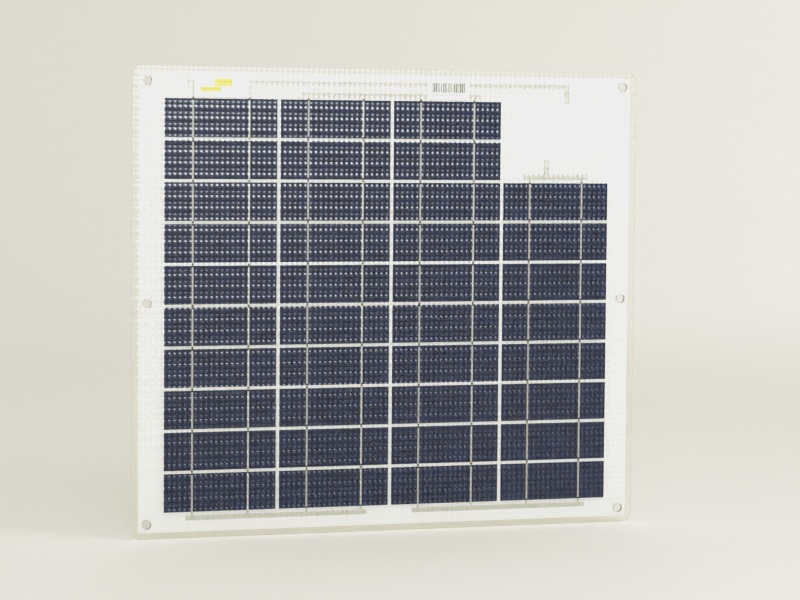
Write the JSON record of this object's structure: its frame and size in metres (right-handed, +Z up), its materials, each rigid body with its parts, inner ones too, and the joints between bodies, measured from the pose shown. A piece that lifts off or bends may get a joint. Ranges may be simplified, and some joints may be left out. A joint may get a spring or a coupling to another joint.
{
  "type": "solar panel",
  "caption": "Flat semi-flexible solar panel: dark cells in a white-backed clear laminate with mounting holes and a junction box on the back.",
  "frame": {"origin": "centre of the mounting hole pattern, on the flat back face", "axes": "+Z up along the panel's shorter side, +X to the right seen from the front, +Y out of the back; the cells face -Y"},
  "size_m": [0.58, 0.027, 0.511],
  "materials": {
    "clear_sheet": "clear, embossed on the front",
    "clear_film": "clear",
    "white_board": "satin white",
    "silicon": "dark blue, fine horizontal fingers",
    "tinned_ribbon": "tinned, soft sheen",
    "label_film": null,
    "patch_film": "white film",
    "box_plastic": "fine spark-eroded grain",
    "gland_plastic": "moulded nylon",
    "seal_rubber": "matt",
    "bond_foam": "matt",
    "steel": "bright",
    "brass": "plain",
    "carrier_plastic": "moulded",
    "diode_body": "moulded epoxy with a grey band"
  },
  "bodies": {
    "panel": {"front_sheet": "clear_sheet", "back_sheet": "clear_sheet", "front_film": "clear_film", "rear_film": "clear_film", "white_board": "white_board", "cell_string_1": "silicon", "cell_string_2": "silicon", "cell_string_3": "silicon", "cell_string_4": "silicon", "cell_ribbons_1": "tinned_ribbon", "cell_ribbons_2": "tinned_ribbon", "cell_ribbons_3": "tinned_ribbon", "cell_ribbons_4": "tinned_ribbon", "positive_bus": "tinned_ribbon", "negative_bus": "tinned_ribbon", "left_bus": "tinned_ribbon", "middle_bus": "tinned_ribbon", "right_bus": "tinned_ribbon", "plain_label": "label_film", "code_label": "label_film", "cover_patch": "patch_film", "bond_pad": "bond_foam", "box_base": "box_plastic", "hinge_pin": "steel", "lid_gasket": "seal_rubber", "terminal_carrier": "carrier_plastic", "positive_rail": "brass", "negative_rail": "brass", "clamp_plates": "steel", "terminal_screws": "steel", "bypass_diode": "diode_body", "upper_gland_body": "gland_plastic", "lower_gland_body": "gland_plastic", "upper_gland_seal": "seal_rubber", "lower_gland_seal": "seal_rubber", "gland_locknuts": "gland_plastic", "gland_sealing_rings": "seal_rubber"},
    "lid": {"box_lid": "box_plastic"},
    "upper_nut": {"upper_gland_nut": "gland_plastic"},
    "lower_nut": {"lower_gland_nut": "gland_plastic"}
  },
  "joints": [
    {"name": "lid_hinge", "type": "hinge", "parent": "panel", "child": "lid", "pos_m": [0.193, 0.0202, 0.224], "axis": [1, 0, 0], "range_deg": [0, 120]},
    {"name": "upper_nut_turn", "type": "hinge", "parent": "panel", "child": "upper_nut", "pos_m": [0.2446, 0.0106, 0.2], "axis": [1, 0, 0], "range_deg": [0, 360]},
    {"name": "lower_nut_turn", "type": "hinge", "parent": "panel", "child": "lower_nut", "pos_m": [0.2446, 0.0106, 0.18], "axis": [1, 0, 0], "range_deg": [0, 360]}
  ]
}
